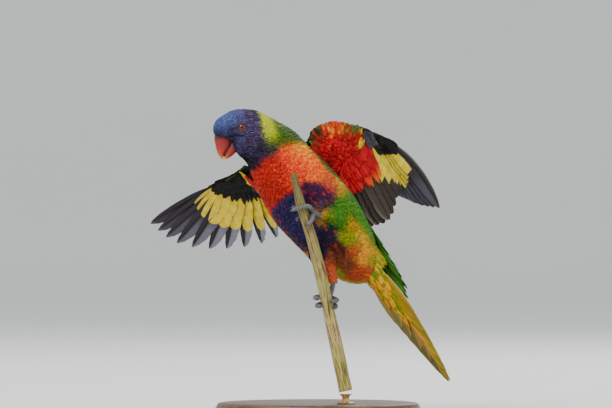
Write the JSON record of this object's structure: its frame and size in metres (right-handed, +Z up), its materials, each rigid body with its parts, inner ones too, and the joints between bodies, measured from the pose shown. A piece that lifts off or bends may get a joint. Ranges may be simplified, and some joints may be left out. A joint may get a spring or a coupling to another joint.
{
  "type": "bird model",
  "caption": "Life-size still model of a rainbow lorikeet climbing a cut stem, belly to the stem, wings raised and spread behind it, long tail hanging, on a round display base.",
  "frame": {"origin": "centre of the underside of the stand's round base", "axes": "+Z up, -Y the side the bird's belly and the stem face, +X to the right as one looks at the belly, the way the tail hangs"},
  "size_m": [0.2607, 0.2539, 0.2594],
  "materials": {
    "plumage": "soft feathers",
    "green_plumage": "soft feathers",
    "collar": "soft feathers",
    "crown": "soft streaked feathers",
    "wing": "sleek feathers",
    "tail": "sleek feathers",
    "iris": "glass-like, wet",
    "bill": "smooth horn",
    "skin": "scaly matt skin",
    "claw": "horn",
    "stem": "dry palm stem",
    "rod": "satin",
    "base": "satin lacquer"
  },
  "bodies": {
    "root": {"torso": "plumage", "neck": "collar", "head": "crown", "eye_left": "iris", "eye_right": "iris", "bill_upper": "bill", "bill_lower": "bill", "wing_left": "wing", "wing_right": "wing", "tail": "tail", "thigh_left": "green_plumage", "thigh_right": "plumage", "foot_left": "skin", "foot_right": "skin", "perch_stem": "stem", "stand_rod": "rod", "stand_base": "base", "claw_left_outer": "claw", "claw_left_inner": "claw", "claw_left_hind": "claw", "claw_left_thumb": "claw", "claw_right_outer": "claw", "claw_right_inner": "claw", "claw_right_hind": "claw", "claw_right_thumb": "claw"}
  },
  "joints": []
}
